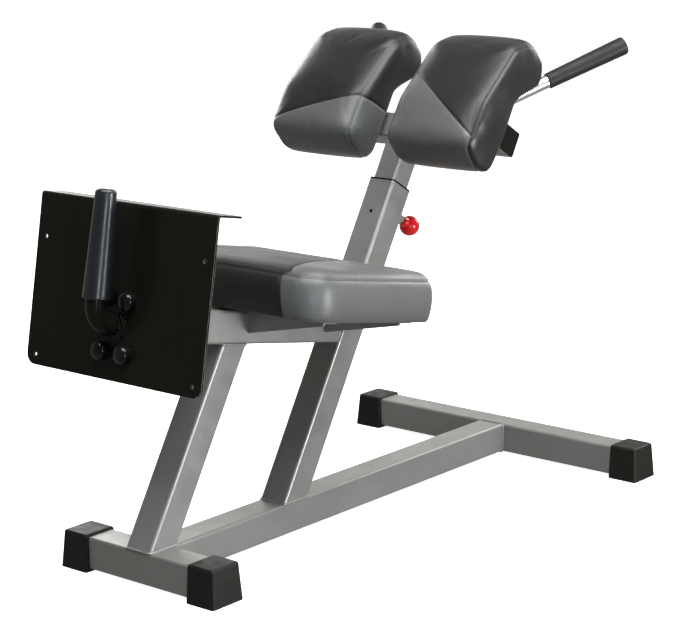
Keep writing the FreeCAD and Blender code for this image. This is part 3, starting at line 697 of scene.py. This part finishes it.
def round_corners(obj, tree):
    """Rounds the long corners between the face of a pad and its two sides, less so at the foot."""
    co = coords(obj)
    depth, way = inset(tree, co)
    radius = PAD_ROUND * (FOOT_ROUND + (1 - FOOT_ROUND) * np.clip((co[:, 0] - FOOT) / 0.055, 0, 1))
    for side_depth, inner_way in zip(side_depths(co), (-1.0, 1.0)):
        u = np.clip(radius - depth, 0, None)
        v = np.clip(radius - side_depth, 0, None)
        length = np.hypot(u, v)
        pull = np.where((u > 0) & (v > 0) & (length > radius), 1 - radius / np.maximum(length, 1e-9), 0)
        co = co + way * (u * pull)[:, None]
        co[:, 1] += np.sign(co[:, 1]) * inner_way * v * pull
    set_coords(obj, relax(obj, co, 2))


def puff_pad(obj, tree):
    """Fills a pad out between its seams: the crowned front, the rolled top, the bottom and both sides."""
    co = coords(obj)
    depth, way = inset(tree, co)
    outer, inner = side_depths(co)
    across = 1 - np.exp(-np.minimum(outer, inner).clip(0) / (22 * MM))
    low = np.clip((way[:, 0] - 0.3) / 0.5, 0, 1)
    full = FRONT_PUFF + (BOTTOM_PUFF - FRONT_PUFF) * low
    behind = np.clip((way[:, 2] - 0.1) / 0.6, 0, 1)
    lift = (PIPED + full * across) * np.exp(-depth.clip(0) / REACH) * (1 - behind)
    lift = np.where(co[:, 2] > 1.5 * MM, lift, lift * np.clip((co[:, 0] - TOP_BACK) / 0.02, 0, 1))
    down = 1 - np.exp(-depth.clip(0) / (9 * MM))
    taper = np.clip((co[:, 0] - 0.690) / 0.075, 0, 1) ** 0.7     # the outer side narrows towards the foot
    sideways = (PIPED + OUTER_PUFF * down) * taper * np.exp(-outer.clip(0) / REACH)
    sideways -= (PIPED + INNER_PUFF * down) * np.exp(-inner.clip(0) / REACH)
    co = co - way * lift[:, None]
    co[:, 1] += np.sign(co[:, 1]) * sideways
    set_coords(obj, relax(obj, co, 3))


def seam_shift(along, off, outer):
    """How far the side seam runs in from a pad's corner towards its face: it swings in under the bottom."""
    low = np.clip((0.735 - along) / 0.038, 0, 1)
    under = np.clip((0.046 - off) / 0.041, 0, 1) * (along < 0.712)
    if outer:
        return -2.5 * MM + low * 14 * MM + under * 11 * MM
    return -7.0 * MM + low * 9 * MM + under * 4 * MM


def side_seams(co, tree):
    """Below zero on a pad's outer and on its inner side gusset, in metres from the seam."""
    depth, _ = inset(tree, co)
    return [(side_depth - depth - seam_shift(co[:, 0], co[:, 2], outer)) / math.sqrt(2)
            for side_depth, outer in zip(side_depths(co), (True, False))]


# Grey panel of each pad: |y| and height of its peak, and its slopes to the outer and to the inner side.
PANELS = {"left": (0.050, 0.7925, 0.345, 0.0), "right": (0.062, 0.8545, 0.693, 0.95)}


def pad_panel(co, side):
    """Above zero on the grey lower panel, in metres from its seam, which falls to both sides of its peak."""
    along, y = co[:, 0], np.abs(co[:, 1])
    peak, top, fall, inner = PANELS[side]
    line = np.where(y > peak, top - fall * (y - peak), top - inner * (peak - y))
    return (line - along) / np.where(y > peak, math.hypot(1, fall), math.hypot(1, inner))


def hip_pad(side):
    node = "pad_cushion_" + side
    obj = soft_start("hip_pad_" + side, node, POST, PAD_VOXEL)
    tree = wall_tree(node)
    round_corners(obj, tree)
    puff_pad(obj, tree)
    co = coords(obj)
    outer, inner = side_seams(co, tree)
    behind = (co[:, 2] < 3 * MM) & (co[:, 0] < 0.86)
    inflate(obj, (np.abs(outer) < HELD_SEAM) | (np.abs(inner) < HELD_SEAM) | behind)
    refine(obj)
    co = coords(obj)
    outer, inner = side_seams(co, tree)
    grey = pad_panel(co, side)
    grey = np.where(outer < inner, np.minimum(grey, outer), grey)
    seams = [longest_line(obj.data, value) for value in (outer, inner)]
    across = [line[line[:, 2] > -0.01] for line in long_lines(obj.data, grey, 0.05)]
    crease(obj, seams + [line for line in across if len(line) > 3], 1.2 * MM, 2.4 * MM, 0.5 * MM)
    keep(obj, "grey", grey)
    rows = [longest_line(obj.data, value - STITCH_AWAY) for value in (outer, inner)]
    finish_cushion(obj, POST, node, "upper", rows)


knee_cushion()
hip_pad("left")
hip_pad("right")


# ---------------------------------------------------------------- weld beads
def section(node, point, normal):
    """The longest outline of a CAD node in a plane."""
    build = bmesh.new()
    build.from_mesh(NODES[node].data)
    bmesh.ops.remove_doubles(build, verts=build.verts, dist=1e-6)
    mesh = bpy.data.meshes.new("cut")
    build.to_mesh(mesh)
    build.free()
    value = (read(mesh.vertices, "co", 3) - np.array(point)) @ np.array(normal)
    line = longest_line(mesh, value)
    bpy.data.meshes.remove(mesh)
    return line


BEAD_STEP = 1.1 * MM        # between rings; a scale is four steps long


def bead(name, loop, body, radius=2.3 * MM):
    """A painted weld bead: overlapping scales along a line."""
    track = evenly(loop, BEAD_STEP)
    closed = np.linalg.norm(loop[0] - loop[-1]) < 1e-6
    if closed:
        track = track[:-1]
    count = len(track)
    ahead = np.roll(track, -1, axis=0) - np.roll(track, 1, axis=0)
    if not closed:
        ahead[0] = track[1] - track[0]
        ahead[-1] = track[-1] - track[-2]
    centre = track.mean(axis=0)
    sides = 8
    points, faces = [], []
    for i, p in enumerate(track):
        run = Vector(ahead[i]).normalized()
        out = Vector(p - centre)
        out = (out - run * out.dot(run)).normalized()
        up = run.cross(out)
        scale = (i * 1.1 % 4.4) / 4.4       # place within one scale, from 0 to 1
        wide = radius * (0.86 + 0.20 * math.sin(math.pi * scale) + 0.10 * noise.noise(Vector(p) * 300.0))
        for k in range(sides):
            turn = 2 * math.pi * k / sides
            points.append(Vector(p) + (out * math.cos(turn) + up * math.sin(turn)) * wide)
    for i in range(count if closed else count - 1):
        n = (i + 1) % count
        for k in range(sides):
            m = (k + 1) % sides
            faces.append((i * sides + k, i * sides + m, n * sides + m, n * sides + k))
    if not closed:
        faces.append(tuple(range(sides)))
        faces.append(tuple((count - 1) * sides + k for k in reversed(range(sides))))
    mesh_piece(name, points, faces, body, FINISHES["silver_paint"])


def welds():
    """One bead where each tube meets its neighbour, a hair's breadth off the joint."""
    hair = 0.4 * MM
    beam_low, beam_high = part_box("base_beam")
    for name, node in (("weld_leg_foot", "front_leg"), ("weld_post_foot", "post_outer")):
        bead(name, section(node, (0, 0, beam_high[2] + hair), (0, 0, 1)), "frame")
    for name, x in (("weld_beam_front", beam_low[0] + hair), ("weld_beam_rear", beam_high[0] - hair)):
        bead(name, section("base_beam", (x, 0, 0), (1, 0, 0)), "frame")
    flange_back = RAIL.inward(coords(NODES["rail_flange"]))[:, 0].max()
    cross = POST.inward(coords(NODES["cross_tube"]))[:, 0]
    bead("weld_leg_top", section("front_leg", RAIL.place(0, 0, -RAIL_HALF - hair), RAIL.axes[2]), "frame")
    bead("weld_flange", section("seat_rail", RAIL.place(flange_back + hair, 0, 0), RAIL.axes[0]), "frame")
    bead("weld_rail_post", section("seat_rail", POST.place(0, 0, hair), POST.axes[2]), "frame")
    loop = section("inner_post", POST.place(cross.min() - hair, 0, 0), POST.axes[0])
    bead("weld_cross_tube", loop, "upper")
    for side in ("left", "right"):
        loop = section("handle_" + side, POST.place(cross.max() + hair, 0, 0), POST.axes[0])
        bead("weld_handle_" + side, loop, "upper", 1.8 * MM)


welds()


# ---------------------------------------------------------------- floor, light and camera
def stage():
    """A pale floor that turns up into a round backdrop far off; both leave the light on the object alone."""
    radius, height, bend, sides = 26.0, 30.0, 6.0, 96
    rings = [(radius - bend, 0.0)]
    for t in np.linspace(0, math.pi / 2, 9):
        rings.append((radius - bend + bend * math.sin(t), bend - bend * math.cos(t)))
    rings.append((radius, height))
    points = [(0, 0, 0)]
    for r, h in rings:
        for k in range(sides):
            turn = 2 * math.pi * k / sides
            points.append((r * math.cos(turn), r * math.sin(turn), h))
    faces = [(0, 1 + k, 1 + (k + 1) % sides) for k in range(sides)]
    for ring in range(len(rings) - 1):
        first = 1 + ring * sides
        faces += [(first + k, first + sides + k, first + sides + (k + 1) % sides, first + (k + 1) % sides)
                  for k in range(sides)]
    mesh = bpy.data.meshes.new("floor")
    drop = CAD_LOW[2] - 0.2 * MM
    mesh.from_pydata([(x, y, z + drop) for x, y, z in points], [], faces)
    mesh.materials.append(pale_floor())
    floor = link(bpy.data.objects.new("floor", mesh))
    smooth_shade(floor)
    floor.visible_diffuse = False
    floor.visible_glossy = False
    floor.visible_shadow = False


# Glow of the room: a direction, the cosines to it where the glow starts and is full, and its two strengths.
GLOWS = (((0.78, 0.60, 0.15), 0.25, 0.95, 0.12, 0.54),
         ((-0.60, 0.78, -0.15), 0.55, 0.98, 0.0, 0.13),
         ((0.0, 0.0, -1.0), 0.0, 0.9, 0.0, 0.22))


def room():
    """A dim warm world that is brighter in a few directions."""
    world = bpy.data.worlds.new("studio")
    world.use_nodes = True
    nodes, links = world.node_tree.nodes, world.node_tree.links
    place = nodes.new("ShaderNodeTexCoord").outputs["Generated"]
    total = None
    for towards, start, end, low, high in GLOWS:
        share = nodes.new("ShaderNodeVectorMath")
        share.operation = "DOT_PRODUCT"
        share.inputs[1].default_value = towards
        links.new(place, share.inputs[0])
        ramp = nodes.new("ShaderNodeMapRange")
        ramp.interpolation_type = "SMOOTHSTEP"
        for socket, value in (("From Min", start), ("From Max", end), ("To Min", low), ("To Max", high)):
            ramp.inputs[socket].default_value = value
        links.new(share.outputs["Value"], ramp.inputs["Value"])
        if total is None:
            total = ramp.outputs[0]
        else:
            both = nodes.new("ShaderNodeMath")
            links.new(total, both.inputs[0])
            links.new(ramp.outputs[0], both.inputs[1])
            total = both.outputs[0]
    links.new(total, nodes["Background"].inputs["Strength"])
    nodes["Background"].inputs["Color"].default_value = (1.0, 0.96, 0.90, 1.0)
    bpy.context.scene.world = world


MIDDLE = (0.0, 0.0, 0.45)   # what the lamps face


def softbox(name, place, size, power, colour=(1.0, 1.0, 1.0)):
    """A rectangular lamp that faces the middle of the machine and is not itself seen."""
    lamp = bpy.data.lights.new(name, "AREA")
    lamp.shape = "RECTANGLE"
    lamp.size, lamp.size_y = size
    lamp.energy = power
    lamp.color = colour
    obj = link(bpy.data.objects.new(name, lamp))
    obj.location = place
    obj.rotation_mode = "QUATERNION"
    obj.visible_camera = False
    obj.rotation_quaternion = (Vector(MIDDLE) - Vector(place)).to_track_quat("-Z", "Y")


def lights():
    softbox("overhead", (0.0, -1.3, 3.1), (2.2, 2.2), 150.0)
    softbox("right", (0.45, -3.0, 0.35), (0.5, 0.9), 92.0)
    softbox("front", (-1.7, -0.3, 3.2), (1.2, 1.2), 70.0)
    softbox("behind", (2.4, 2.6, 1.2), (2.4, 1.6), 8.0)
    softbox("left", (1.3, 3.2, 1.5), (1.6, 1.6), 60.0)
    softbox("rear", (3.3, -0.4, 1.7), (1.6, 1.6), 50.0)
    softbox("window", (-2.1, -2.75, 0.95), (0.35, 1.2), 28.0, (0.76, 0.88, 1.0))


CAMERA_PLACE = (-2.94275, -2.4641, 1.2599)
CAMERA_TURN = (38.87, -12.42, -0.18)        # yaw, pitch and roll in degrees
CAMERA_LENS = 110.09                        # mm, on a sensor 36 mm wide
CAMERA_SHIFT = (-0.0340, -0.0154)


def camera():
    """The view from the foot-plate side: about 3.9 m off, looking down by 12 degrees."""
    yaw, pitch, roll = (math.radians(a) for a in CAMERA_TURN)
    forward = Vector((math.cos(pitch) * math.cos(yaw), math.cos(pitch) * math.sin(yaw), math.sin(pitch)))
    level = Vector((math.sin(yaw), -math.cos(yaw), 0))
    upright = level.cross(forward)
    right = level * math.cos(roll) + upright * math.sin(roll)
    up = upright * math.cos(roll) - level * math.sin(roll)
    data = bpy.data.cameras.new("camera")
    data.sensor_width = 36.0
    data.lens = CAMERA_LENS
    data.shift_x, data.shift_y = CAMERA_SHIFT
    data.clip_end = 100.0
    obj = link(bpy.data.objects.new("camera", data))
    matrix = Matrix([list(right), list(up), list(-forward)]).transposed().to_4x4()
    matrix.translation = Vector(CAMERA_PLACE)
    obj.matrix_world = matrix
    bpy.context.scene.camera = obj


stage()
room()
lights()
camera()
bpy.context.scene.view_settings.view_transform = "Standard"
